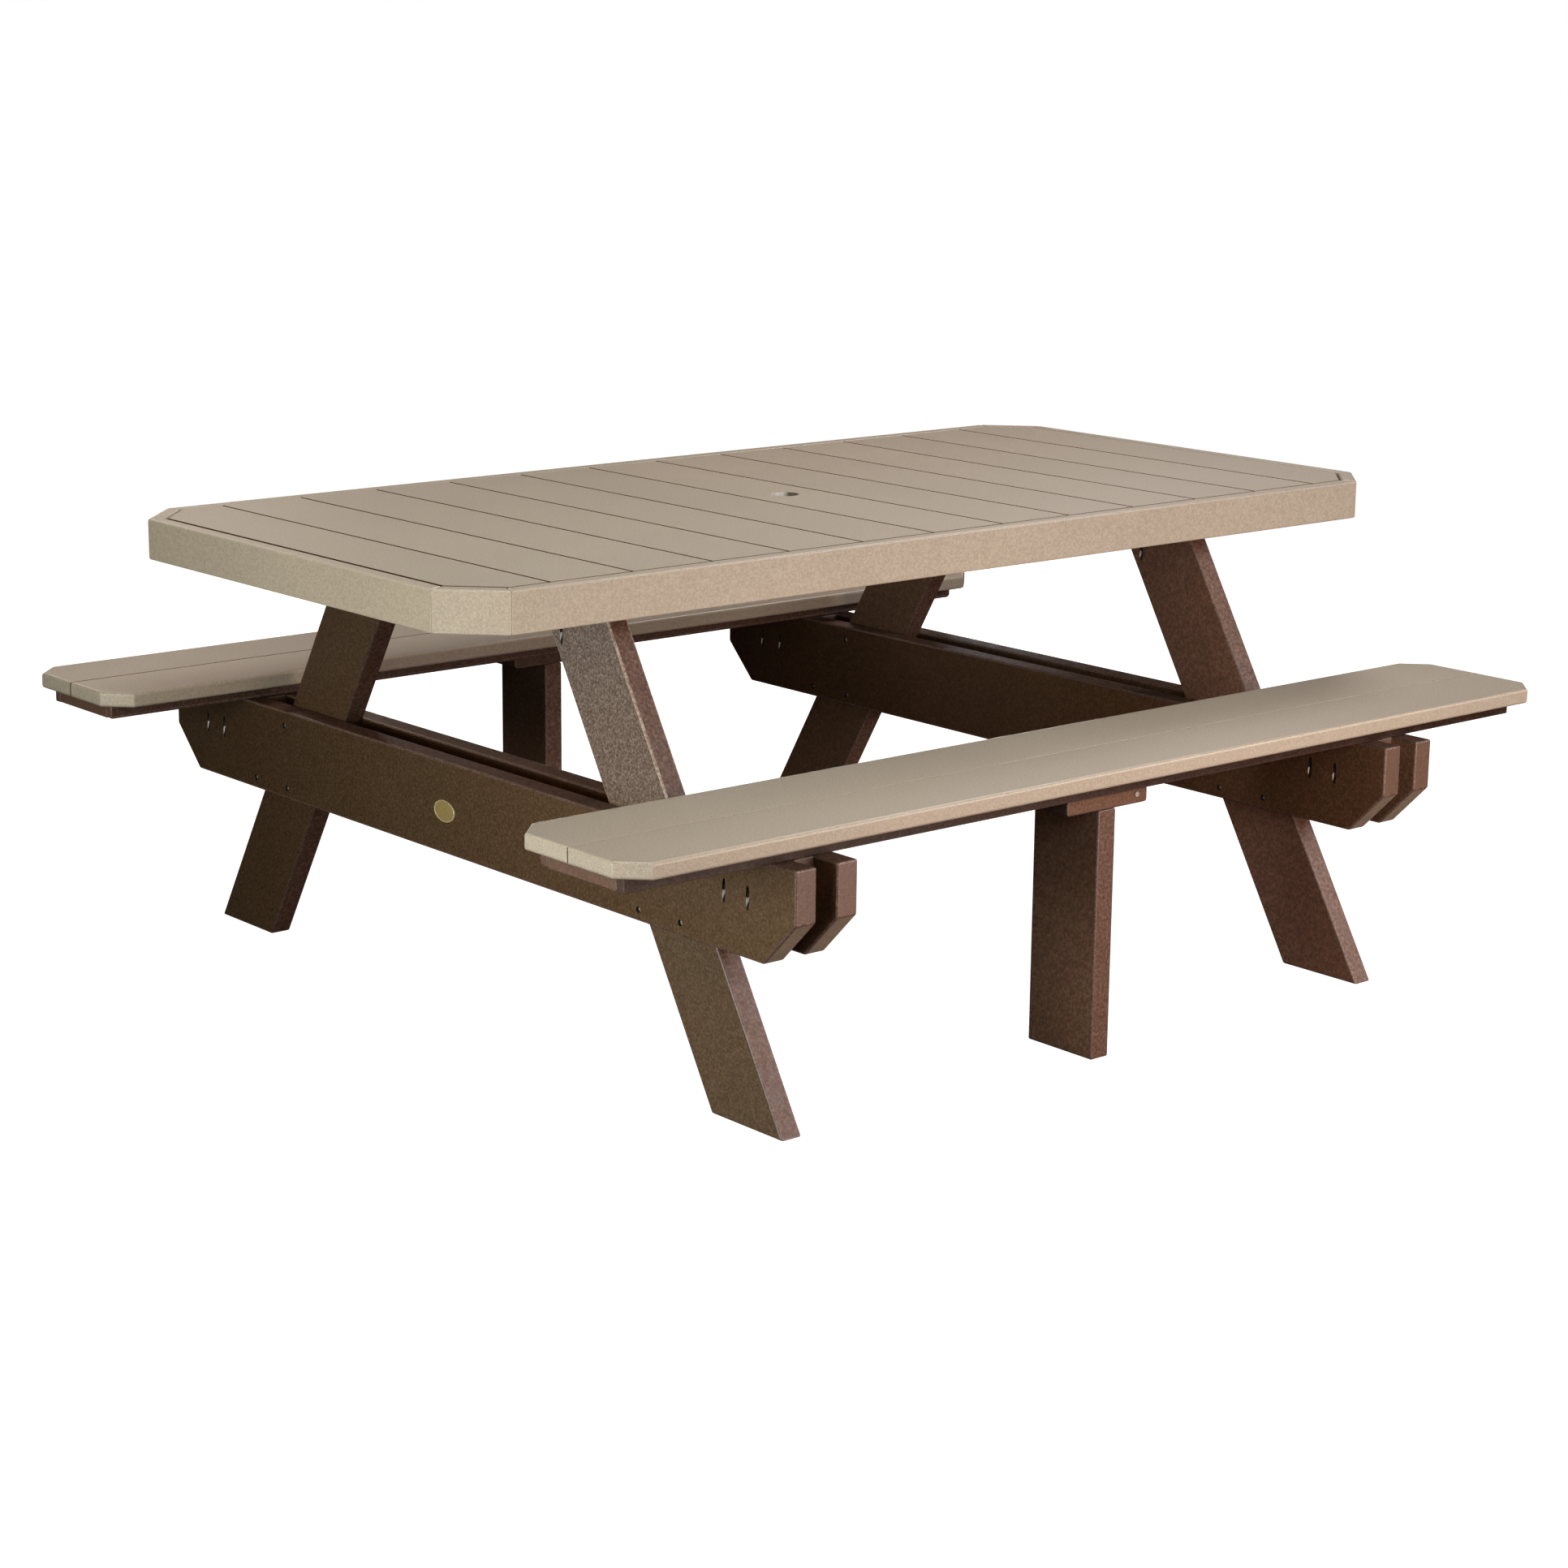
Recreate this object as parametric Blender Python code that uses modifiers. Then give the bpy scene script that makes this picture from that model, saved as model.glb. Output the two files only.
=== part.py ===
"""Picnic table of recycled-plastic lumber: an octagonal top of crosswise slats in an
apron, two benches, two end frames with splayed legs, and two centre posts.

Metres, +Z up.  X runs along the table, Y across it.  The origin is on the ground at the
middle of the table.  Lumber sizes are given in inches times INCH.
"""

import math

import bmesh
import bpy
from mathutils import Matrix, Vector

INCH = 0.0254
GAP = 0.0003                        # clearance between boards that touch
EASE = 0.12 * INCH                  # eased edge of every board

# Table top
TOP_HEIGHT = 31.1 * INCH
TOP_LENGTH = 77.5 * INCH
TOP_WIDTH = 37.5 * INCH
TOP_CLIP = 3.2 * INCH               # 45-degree clip at each corner, along one side
APRON_HEIGHT = 2.55 * INCH
APRON_THICKNESS = 1.0 * INCH
SLAT_COUNT = 13
SLAT_THICKNESS = 1.0 * INCH
SLAT_PITCH = 5.85 * INCH             # the end slats are narrower
GROOVE = 0.16 * INCH                # open groove beside each slat
SLAT_END_GAP = 0.05 * INCH          # open joint at a slat's two ends
UMBRELLA_HOLE = 1.9 * INCH          # diameter
STRINGER_THICKNESS = 1.25 * INCH

# Structural lumber: legs, beams and posts
PLANK_THICKNESS = 1.5 * INCH
PLANK_WIDTH = 5.5 * INCH

# End frames: a pair of beams with the legs between them
FRAME_SPAN = 54.0 * INCH            # over the outer faces of the two frames
BEAM_LENGTH = 66.4 * INCH
BEAM_BOTTOM = 10.75 * INCH
BEAM_TOP = 16.7 * INCH
BEAM_CHAMFER = 2.75 * INCH
LEG_SLOPE = 0.59                    # inward travel of a leg per unit of height
LEG_FOOT_INNER = 24.08 * INCH       # inner edge of a leg on the ground
BLOCK_HEIGHT = 2.0 * INCH           # spacer block between the beams, under a bench

# Pits for the heads of the frame screws, three from each beam into each leg
FRAME_SCREWS = ((19.3 * INCH, 15.7 * INCH), (23.0 * INCH, 11.5 * INCH),
                (19.1 * INCH, 11.45 * INCH))        # distance from the middle, and height
PIT_RADIUS = 0.2 * INCH
PIT_DEPTH = 0.2 * INCH
PIT_SIDES = 16

# Pocket-screw slots, drilled upward into a face at a shallow angle
SLOT_RADIUS = 0.16 * INCH
SLOT_LENGTH = 1.45 * INCH           # height of the oval opening on the face
SLOT_RUN = 1.5 * INCH               # drilled length above the middle of the opening
SLOT_SIDES = 24
BEAM_SLOT_Y = (26.95 * INCH, 29.05 * INCH)
BEAM_SLOT_Z = 14.28 * INCH
LEG_SLOT_Y = {-1: 9.7 * INCH, 1: 11.5 * INCH}       # on a leg's left and right faces
LEG_SLOT_Z = 26.2 * INCH

# Benches: two seat boards on a bearer board edged by two strips
SEAT_HEIGHT = 18.7 * INCH
SEAT_THICKNESS = 1.0 * INCH
SEAT_LENGTH = 77.0 * INCH
SEAT_SHIFT = 0.25 * INCH            # the benches sit a little to the right
SEAT_INNER = 21.9 * INCH            # inner edge of the bench from the table's middle
SEAT_BOARD = 5.48 * INCH
SEAT_SEAM = 0.1 * INCH
SEAT_CLIP = 1.6 * INCH
BEARER_LENGTH = 74.7 * INCH
BEARER_INNER = 23.72 * INCH
BEARER_WIDTH = 7.5 * INCH           # bearer board and both strips
STRIP_WIDTH = 0.62 * INCH

# Centre posts
POST_X = -0.4 * INCH
POST_INNER = 25.35 * INCH
CLEAT_LENGTH = 6.85 * INCH
CLEAT_THICKNESS = 1.0 * INCH
SCREW_HEAD_RADIUS = 0.17 * INCH
SCREW_HEAD_THICKNESS = 0.05 * INCH
CLEAT_SCREW_X = POST_X + 2.5 * INCH
CLEAT_SCREW_DROP = 0.42 * INCH      # below the cleat's top

# Oval badge on the outer beam of the left frame
BADGE_WIDTH = 2.2 * INCH
BADGE_HEIGHT = 1.4 * INCH
BADGE_THICKNESS = 0.06 * INCH
BADGE_Y = 0.6 * INCH
BADGE_Z = 13.5 * INCH

# Worked out from the sizes above
SEAT_UNDERSIDE = SEAT_HEIGHT - SEAT_THICKNESS
SLAT_UNDERSIDE = TOP_HEIGHT - SLAT_THICKNESS
STRINGER_UNDERSIDE = SLAT_UNDERSIDE - STRINGER_THICKNESS
INNER_LENGTH = TOP_LENGTH - 2 * APRON_THICKNESS
INNER_WIDTH = TOP_WIDTH - 2 * APRON_THICKNESS
LEG_WIDTH_LEVEL = PLANK_WIDTH * math.hypot(1, LEG_SLOPE)   # a leg's width, measured level

# The two ends of the table and its two sides, and the frames' places along X
ENDS = {"left": -1, "right": 1}
SIDES = {"front": -1, "rear": 1}

COLOURS = {
    "top": ((0.40, 0.32, 0.24), 0.6, 0.0),
    "seat": ((0.38, 0.30, 0.22), 0.6, 0.0),
    "frame": ((0.085, 0.045, 0.030), 0.6, 0.0),
    "badge": ((0.45, 0.33, 0.12), 0.4, 0.8),
    "steel": ((0.60, 0.58, 0.55), 0.3, 1.0),
}


def clear_scene():
    for obj in list(bpy.data.objects):
        bpy.data.objects.remove(obj, do_unlink=True)


def new_collection(name):
    collection = bpy.data.collections.new(name)
    bpy.context.scene.collection.children.link(collection)
    return collection


def material(kind, name):
    colour, roughness, metallic = COLOURS[kind]
    mat = bpy.data.materials.new(name)
    mat.use_nodes = True
    shader = mat.node_tree.nodes["Principled BSDF"]
    shader.inputs["Base Color"].default_value = (*colour, 1.0)
    shader.inputs["Roughness"].default_value = roughness
    shader.inputs["Metallic"].default_value = metallic
    mat.diffuse_color = (*colour, 1.0)
    return mat


def finish_piece(name, mesh, kind, ease=EASE):
    """Puts a mesh in the table's collection as one board, with eased edges."""
    obj = bpy.data.objects.new(name, mesh)
    TABLE.objects.link(obj)
    mesh.materials.append(material(kind, name))
    if ease:
        bevel = obj.modifiers.new("eased_edges", "BEVEL")
        bevel.width = ease
        bevel.segments = 1
        bevel.limit_method = "ANGLE"
        bevel.angle_limit = math.radians(30)
    return obj


def box(name, kind, low, high, ease=EASE):
    """A rectangular board between two opposite corners."""
    low, high = Vector(low), Vector(high)
    bm = bmesh.new()
    bmesh.ops.create_cube(bm, size=1.0)
    size = high - low
    bmesh.ops.scale(bm, vec=size, verts=bm.verts)
    bmesh.ops.translate(bm, vec=(low + high) / 2, verts=bm.verts)
    mesh = bpy.data.meshes.new(name)
    bm.to_mesh(mesh)
    bm.free()
    return finish_piece(name, mesh, kind, ease)


def outline_board(name, kind, outline, start, end, upright=False, ease=EASE):
    """A board cut to a flat outline and extruded.

    A flat board's outline is in X and Y and its thickness runs from start to end in Z.
    An upright board's outline is in Y and Z and its thickness runs along X.
    """
    curve = bpy.data.curves.new(name, "CURVE")
    curve.dimensions = "2D"
    curve.fill_mode = "BOTH"
    curve.extrude = (end - start) / 2
    spline = curve.splines.new("POLY")
    spline.points.add(len(outline) - 1)
    for point, (u, v) in zip(spline.points, outline):
        point.co = (u, v, 0, 1)
    spline.use_cyclic_u = True
    guide = bpy.data.objects.new(name + "_outline", curve)
    middle = (start + end) / 2
    if upright:
        turn = Matrix(((0, 0, 1), (1, 0, 0), (0, 1, 0))).to_4x4()
        guide.matrix_world = Matrix.Translation((middle, 0, 0)) @ turn
    else:
        guide.matrix_world = Matrix.Translation((0, 0, middle))
    CUTTERS.objects.link(guide)
    bpy.context.view_layer.update()
    evaluated = guide.evaluated_get(bpy.context.evaluated_depsgraph_get())
    mesh = bpy.data.meshes.new_from_object(evaluated)
    mesh.name = name
    mesh.transform(guide.matrix_world)
    bpy.data.objects.remove(guide, do_unlink=True)
    bm = bmesh.new()
    bm.from_mesh(mesh)
    bmesh.ops.remove_doubles(bm, verts=bm.verts, dist=1e-5)
    bmesh.ops.dissolve_limit(bm, angle_limit=0.01, verts=bm.verts, edges=bm.edges)
    bmesh.ops.recalc_face_normals(bm, faces=bm.faces)
    bm.to_mesh(mesh)
    bm.free()
    return finish_piece(name, mesh, kind, ease)


def cut(obj, cutter):
    boolean = obj.modifiers.new(cutter.name, "BOOLEAN")
    boolean.operation = "DIFFERENCE"
    boolean.solver = "EXACT"
    boolean.object = cutter


def drill(obj, name, radius, start, axis, reach, sides):
    """Cuts a round hole along an axis; reach is how far it runs behind a point and ahead."""
    back, ahead = reach
    axis = Vector(axis)
    centre = Vector(start) + axis * (ahead - back) / 2
    bm = bmesh.new()
    bmesh.ops.create_cone(bm, cap_ends=True, segments=sides, radius1=radius, radius2=radius,
                          depth=back + ahead)
    turn = Vector((0, 0, 1)).rotation_difference(axis).to_matrix().to_4x4()
    bmesh.ops.transform(bm, matrix=Matrix.Translation(centre) @ turn, verts=bm.verts)
    mesh = bpy.data.meshes.new(name)
    bm.to_mesh(mesh)
    bm.free()
    cutter = bpy.data.objects.new(name, mesh)
    cutter.hide_render = True
    cutter.display_type = "WIRE"
    CUTTERS.objects.link(cutter)
    cut(obj, cutter)


def cut_slot(obj, name, face_x, inward, y, z):
    """A pocket-screw slot in a face at constant X; inward is +1 or -1 along X."""
    tilt = math.asin(2 * SLOT_RADIUS / SLOT_LENGTH)
    axis = (inward * math.sin(tilt), 0, math.cos(tilt))
    drill(obj, name, SLOT_RADIUS, (face_x, y, z), axis, (SLOT_LENGTH, SLOT_RUN), SLOT_SIDES)


def cut_pit(obj, name, face_x, inward, y, z):
    """A round pit for a screw's head in a face at constant X."""
    drill(obj, name, PIT_RADIUS, (face_x, y, z), (inward, 0, 0), (PIT_DEPTH, PIT_DEPTH),
          PIT_SIDES)


def clipped_rectangle(half_x, half_y, clip):
    """Corners of a rectangle with its four corners cut at 45 degrees, anticlockwise."""
    x, y = half_x, half_y
    return [(x, -y + clip), (x, y - clip), (x - clip, y), (-x + clip, y),
            (-x, y - clip), (-x, -y + clip), (-x + clip, -y), (x - clip, -y)]


def clip_to_octagon(low_x, high_x, half_x, half_y, clip):
    """The part of a clipped rectangle between two values of X, as an outline."""
    def half_width(x):
        return min(half_y, half_y - clip + half_x - abs(x))

    stations = [low_x, high_x]
    for bend in (-half_x + clip, half_x - clip):
        if low_x < bend < high_x:
            stations.insert(1, bend)
    lower = [(x, -half_width(x)) for x in stations]
    upper = [(x, half_width(x)) for x in reversed(stations)]
    return lower + upper


def inset_clip(inset, clip):
    """The clip left on an octagon's corner when all its sides move in by inset."""
    return clip - inset * (2 - math.sqrt(2))


def make_aprons():
    """Eight boards on edge round the top, mitred where they meet."""
    names = ["apron_right_end", "apron_corner_rear_right", "apron_rear", "apron_corner_rear_left",
             "apron_left_end", "apron_corner_front_left", "apron_front",
             "apron_corner_front_right"]
    outer = clipped_rectangle(TOP_LENGTH / 2, TOP_WIDTH / 2, TOP_CLIP)
    inner = clipped_rectangle(INNER_LENGTH / 2, INNER_WIDTH / 2,
                              inset_clip(APRON_THICKNESS, TOP_CLIP))
    for i, name in enumerate(names):
        j = (i + 1) % len(names)
        corners = [Vector(outer[i]), Vector(outer[j]), Vector(inner[j]), Vector(inner[i])]
        along = (corners[1] - corners[0]).normalized() * (GAP / 2)
        outline = [corners[0] + along, corners[1] - along, corners[2] - along,
                   corners[3] + along]
        outline_board(name, "top", outline, TOP_HEIGHT - APRON_HEIGHT, TOP_HEIGHT)


def slat_sides(i):
    """The two values of X between which a slat lies."""
    middle = (i - (SLAT_COUNT - 1) / 2) * SLAT_PITCH
    half = (SLAT_PITCH - GROOVE) / 2
    limit = INNER_LENGTH / 2 - GROOVE
    return max(middle - half, -limit), min(middle + half, limit)


def make_slats():
    """Thirteen crosswise slats; the end two are clipped and the middle one is bored."""
    half_x = INNER_LENGTH / 2
    half_y = INNER_WIDTH / 2 - SLAT_END_GAP
    clip = inset_clip(APRON_THICKNESS, TOP_CLIP) - SLAT_END_GAP + GROOVE * math.sqrt(2)
    for i in range(SLAT_COUNT):
        outline = clip_to_octagon(*slat_sides(i), half_x, half_y, clip)
        slat = outline_board(f"slat_{i + 1:02d}", "top", outline, SLAT_UNDERSIDE, TOP_HEIGHT)
        if i == SLAT_COUNT // 2:
            drill(slat, "umbrella_bore", UMBRELLA_HOLE / 2, (0, 0, TOP_HEIGHT), (0, 0, 1),
                  (2 * SLAT_THICKNESS, SLAT_THICKNESS), 32)


def leg_inner_edge(z):
    return LEG_FOOT_INNER - LEG_SLOPE * z


def make_stringers():
    """Two lengthwise boards under the slats, one over each row of legs."""
    middle = leg_inner_edge(STRINGER_UNDERSIDE) + LEG_WIDTH_LEVEL / 2
    half_x = INNER_LENGTH / 2 - GAP
    for side, sign in SIDES.items():
        edges = sorted((sign * (middle - PLANK_WIDTH / 2), sign * (middle + PLANK_WIDTH / 2)))
        box(f"stringer_{side}", "frame", (-half_x, edges[0], STRINGER_UNDERSIDE),
            (half_x, edges[1], SLAT_UNDERSIDE - GAP))


def make_leg(end, side, x_low, x_high):
    top = STRINGER_UNDERSIDE - GAP
    sign = SIDES[side]
    foot, head = leg_inner_edge(0), leg_inner_edge(top)
    outline = [(sign * foot, 0), (sign * (foot + LEG_WIDTH_LEVEL), 0),
               (sign * (head + LEG_WIDTH_LEVEL), top), (sign * head, top)]
    leg = outline_board(f"leg_{end}_{side}", "frame", outline, x_low, x_high, upright=True)
    for way, face_x in ((-1, x_low), (1, x_high)):
        cut_slot(leg, f"leg_slot_{end}_{side}_{way}", face_x, -way, sign * LEG_SLOT_Y[way],
                 LEG_SLOT_Z)


def make_beam(name, x_low, x_high, outward):
    """A beam with chamfered lower corners, and slots and pits in its outward face."""
    half = BEAM_LENGTH / 2
    outline = [(-half + BEAM_CHAMFER, BEAM_BOTTOM), (half - BEAM_CHAMFER, BEAM_BOTTOM),
               (half, BEAM_BOTTOM + BEAM_CHAMFER), (half, BEAM_TOP - GAP),
               (-half, BEAM_TOP - GAP), (-half, BEAM_BOTTOM + BEAM_CHAMFER)]
    beam = outline_board(name, "frame", outline, x_low, x_high, upright=True)
    face_x = x_high if outward > 0 else x_low
    for side, sign in SIDES.items():
        for i, y in enumerate(BEAM_SLOT_Y):
            cut_slot(beam, f"{name}_{side}_slot_{i}", face_x, -outward, sign * y, BEAM_SLOT_Z)
        for i, (y, z) in enumerate(FRAME_SCREWS):
            cut_pit(beam, f"{name}_{side}_pit_{i}", face_x, -outward, sign * y, z)


def make_frame(end):
    """One end frame: two beams, two legs between them and a block under each bench."""
    sign = ENDS[end]
    faces = [sign * (FRAME_SPAN / 2 - PLANK_THICKNESS * i) for i in range(4)]
    make_beam(f"beam_{end}_outer", *sorted(faces[0:2]), sign)
    make_beam(f"beam_{end}_inner", *sorted(faces[2:4]), -sign)
    x_low, x_high = sorted(faces[1:3])
    x_low, x_high = x_low + GAP, x_high - GAP
    for side, way in SIDES.items():
        make_leg(end, side, x_low, x_high)
        edges = sorted((way * BEARER_INNER, way * (BEARER_INNER + BEARER_WIDTH)))
        box(f"spacer_block_{end}_{side}", "frame", (x_low, edges[0], BEAM_TOP - BLOCK_HEIGHT),
            (x_high, edges[1], BEAM_TOP - GAP))


def seat_outline(side, inner, outer, clip_outer):
    """A seat board's outline, with both ends clipped along one long edge."""
    half = SEAT_LENGTH / 2
    clipped, square = (outer, inner) if clip_outer else (inner, outer)
    toward = 1 if square > clipped else -1
    outline = [(-half, square), (-half, clipped + toward * SEAT_CLIP),
               (-half + SEAT_CLIP, clipped), (half - SEAT_CLIP, clipped),
               (half, clipped + toward * SEAT_CLIP), (half, square)]
    return [(x + SEAT_SHIFT, SIDES[side] * y) for x, y in outline]


def make_bench(side):
    """Two seat boards, the bearer board under them and the strips on its edges."""
    sign = SIDES[side]
    seam = SEAT_INNER + SEAT_BOARD
    for name, inner, outer, clip_outer in (
            ("inner", SEAT_INNER, seam, False),
            ("outer", seam + SEAT_SEAM, seam + SEAT_SEAM + SEAT_BOARD, True)):
        outline_board(f"seat_{side}_{name}", "seat", seat_outline(side, inner, outer, clip_outer),
                      SEAT_UNDERSIDE, SEAT_HEIGHT)
    strips = (BEARER_INNER, BEARER_INNER + BEARER_WIDTH - STRIP_WIDTH)
    pieces = {"bearer_strip_inner": (strips[0], strips[0] + STRIP_WIDTH),
              "bearer": (strips[0] + STRIP_WIDTH + GAP, strips[1] - GAP),
              "bearer_strip_outer": (strips[1], strips[1] + STRIP_WIDTH)}
    for name, edges in pieces.items():
        low, high = sorted(sign * edge for edge in edges)
        box(f"{name}_{side}", "frame", (-BEARER_LENGTH / 2, low, BEAM_TOP),
            (BEARER_LENGTH / 2, high, SEAT_UNDERSIDE - GAP))


def make_post(side):
    """A centre post and the cleat that fastens it to the bench's bearer."""
    sign = SIDES[side]
    low, high = sorted((sign * POST_INNER, sign * (POST_INNER + PLANK_WIDTH)))
    cleat_underside = BEAM_TOP - CLEAT_THICKNESS
    box(f"centre_post_{side}", "frame", (POST_X - PLANK_THICKNESS / 2, low, 0),
        (POST_X + PLANK_THICKNESS / 2, high, cleat_underside - GAP))
    box(f"post_cleat_{side}", "frame", (POST_X - CLEAT_LENGTH / 2, low, cleat_underside),
        (POST_X + CLEAT_LENGTH / 2, high, BEAM_TOP - GAP))


def disc(name, kind, centre, size, outward, segments=24):
    """A thin round or oval disc, tapered towards its outer face.

    size is its full width, height and thickness, and outward the direction it faces.
    """
    bm = bmesh.new()
    bmesh.ops.create_cone(bm, cap_ends=True, segments=segments, radius1=0.5, radius2=0.46,
                          depth=1.0)
    outward = Vector(outward)
    upward = Vector((0, 0, 1))
    turn = Matrix((upward.cross(outward), upward, outward)).transposed().to_4x4()
    place = Matrix.Translation(Vector(centre) + outward * (GAP + size[2] / 2))
    bmesh.ops.transform(bm, matrix=place @ turn @ Matrix.Diagonal((*size, 1)), verts=bm.verts)
    mesh = bpy.data.meshes.new(name)
    bm.to_mesh(mesh)
    bm.free()
    return finish_piece(name, mesh, kind, ease=0)


def make_cleat_screw(side):
    """A screw head on the long outer face of a post's cleat."""
    outward = Vector((0, SIDES[side], 0))
    face = outward * (POST_INNER + PLANK_WIDTH)
    centre = face + Vector((CLEAT_SCREW_X, 0, BEAM_TOP - CLEAT_SCREW_DROP))
    diameter = 2 * SCREW_HEAD_RADIUS
    disc(f"cleat_screw_{side}", "steel", centre, (diameter, diameter, SCREW_HEAD_THICKNESS),
         outward)


def make_badge():
    """A plain oval disc on the outer face of the left frame."""
    disc("badge", "badge", (-FRAME_SPAN / 2, BADGE_Y, BADGE_Z),
         (BADGE_WIDTH, BADGE_HEIGHT, BADGE_THICKNESS), (-1, 0, 0), segments=32)


clear_scene()
TABLE = new_collection("picnic_table")
CUTTERS = new_collection("cutters")
make_aprons()
make_slats()
make_stringers()
for end_name in ENDS:
    make_frame(end_name)
for side_name in SIDES:
    make_bench(side_name)
    make_post(side_name)
    make_cleat_screw(side_name)
make_badge()
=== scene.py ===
"""The looks of the picnic table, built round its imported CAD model.

Each board is rebuilt from its CAD node's own outline, with rounded edges, sawn ends and a
procedural plastic-lumber finish.  The slots, screw pits and umbrella hole are cut into it
again, and the screw heads and the badge are turned from profiles.  Metres, +Z up, X along the
table and Y across it, as in the frame.
"""

import math

import bmesh
import bpy
from mathutils import Matrix, Vector
from mathutils.geometry import convex_hull_2d


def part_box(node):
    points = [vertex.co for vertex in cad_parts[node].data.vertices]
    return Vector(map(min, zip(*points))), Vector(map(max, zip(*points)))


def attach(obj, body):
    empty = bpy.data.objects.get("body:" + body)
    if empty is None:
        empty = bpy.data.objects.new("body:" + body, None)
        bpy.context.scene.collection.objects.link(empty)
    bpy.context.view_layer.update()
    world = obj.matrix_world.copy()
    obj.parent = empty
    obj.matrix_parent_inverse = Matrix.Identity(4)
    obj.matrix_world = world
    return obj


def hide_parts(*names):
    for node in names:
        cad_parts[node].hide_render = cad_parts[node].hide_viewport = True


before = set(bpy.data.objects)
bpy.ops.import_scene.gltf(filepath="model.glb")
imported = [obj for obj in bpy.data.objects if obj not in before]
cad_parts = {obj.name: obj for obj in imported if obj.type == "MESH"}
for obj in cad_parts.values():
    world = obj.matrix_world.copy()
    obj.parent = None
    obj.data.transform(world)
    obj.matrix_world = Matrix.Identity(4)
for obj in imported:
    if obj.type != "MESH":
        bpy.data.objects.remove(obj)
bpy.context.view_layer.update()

INCH = 0.0254
ROUND_STEPS = 4                     # facets in a rounded edge
SHORTEST_SIDE = 0.3 * INCH          # a shorter side of a CAD outline is a chamfered edge
SAME_WAY = 0.02                     # radians between two sides that lie in one line
LEVEL = 0.9                         # cosine of an edge that runs across the outline
ACROSS = 0.6                        # cosine of a face that lies across a board's length
FACING_DOWN = -0.3                  # a lower normal.z makes a sawn face an undercut one
SMOOTH_ANGLE = math.radians(40)
BORE_SIDES = 40

# Camera
CAMERA_PLACE = Vector((-141.310, -166.947, 63.551)) * INCH
CAMERA_HEADING = 0.86768            # from +X towards +Y
CAMERA_PITCH = -0.23406
CAMERA_ROLL = 0.00994
CAMERA_LENS = 76.521                # millimetres, on a 36 mm sensor

# Pocket-screw slots: oval openings drilled upward into a face at a shallow angle
SLOT_RADIUS = 0.16 * INCH
SLOT_LENGTH = 1.45 * INCH
SLOT_RUN = 1.5 * INCH
BEAM_SLOT_Y = (26.95 * INCH, 29.05 * INCH)
BEAM_SLOT_Z = 14.28 * INCH
LEG_SLOT_Y = {-1: 9.7 * INCH, 1: 11.5 * INCH}       # on a leg's left and right faces
LEG_SLOT_Z = 26.2 * INCH
UMBRELLA_HOLE = 1.9 * INCH

# Frame screws, sunk into pits in the beams' outward faces
FRAME_SCREWS = ((19.3 * INCH, 15.7 * INCH), (23.0 * INCH, 11.5 * INCH),
                (19.1 * INCH, 11.45 * INCH))        # distance from the middle, and height
PIT_RADIUS = 0.2 * INCH
PIT_DEPTH = 0.2 * INCH

# Small round parts, each a profile of (radius, height, lobe depth) rings from the bottom up
WASHER_HEAD = ((0.17, 0.0, 0), (0.17, 0.03, 0), (0.155, 0.04, 0), (0.105, 0.045, 0),
               (0.1, 0.085, 0), (0.08, 0.1, 0), (0.05, 0.1, 0.2), (0.045, 0.045, 0.2))
FLAT_HEAD = ((0.08, 0.0, 0), (0.16, 0.07, 0), (0.165, 0.085, 0), (0.155, 0.095, 0),
             (0.055, 0.095, 0.2), (0.05, 0.04, 0.2))
BADGE_PROFILE = ((1.0, 0.0, 0), (1.0, 0.035, 0), (0.99, 0.05, 0), (0.97, 0.06, 0),
                 (0.945, 0.058, 0), (0.925, 0.042, 0), (0.88, 0.036, 0), (0.5, 0.046, 0),
                 (0.15, 0.048, 0))
BADGE_RIM = 0.92                    # the rim's inner edge, as a share of the radius
BADGE_SIDES = 72
DRIVE_LOBES = 6
CLEAT_SINK = 0.05 * INCH            # how deep a flat head sits in its cleat

SEAT_SEAM_Y = 27.43 * INCH          # the joint between a bench's two boards
SEAM_REACH = 0.1 * INCH             # how far from it a board's edge still belongs to it
JOINT_SHADE_REACH = 0.07 * INCH           # how far from it the boards get painted shade
SHARP = 0.03 * INCH                 # radius of the edges at that joint

# The finishes of a board, by the place of each in its list
SKIN, SAWN, ROUTED, EDGE, UNDERCUT_FACE = range(5)

# How each family of boards is rebuilt: the node names it starts with, the record's slot,
# the axis across its outline, and the radii of its long edges and of its corners
FAMILIES = (
    ("slat_", "slat_boards", 2, 0.02 * INCH, 0.02 * INCH),
    ("apron_", "apron_boards", 2, 0.12 * INCH, 0.05 * INCH),
    ("seat_", "seat_boards", 2, 0.2 * INCH, 0.08 * INCH),
    ("stringer_", "frame_boards", 2, 0.13 * INCH, 0.05 * INCH),
    ("bearer_strip_inner", "frame_boards", 2, 0.24 * INCH, 0.06 * INCH),
    ("bearer_strip_outer", "frame_boards", 2, 0.08 * INCH, 0.05 * INCH),
    ("bearer_", "frame_boards", 2, 0.13 * INCH, 0.05 * INCH),
    ("leg_", "frame_boards", 0, 0.13 * INCH, 0.13 * INCH),
    ("beam_", "frame_boards", 0, 0.13 * INCH, 0.13 * INCH),
    ("spacer_block_", "frame_boards", 0, 0.08 * INCH, 0.08 * INCH),
    ("centre_post_", "frame_boards", 0, 0.13 * INCH, 0.08 * INCH),
    ("post_cleat_", "frame_boards", 1, 0.1 * INCH, 0.28 * INCH),
)
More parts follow.
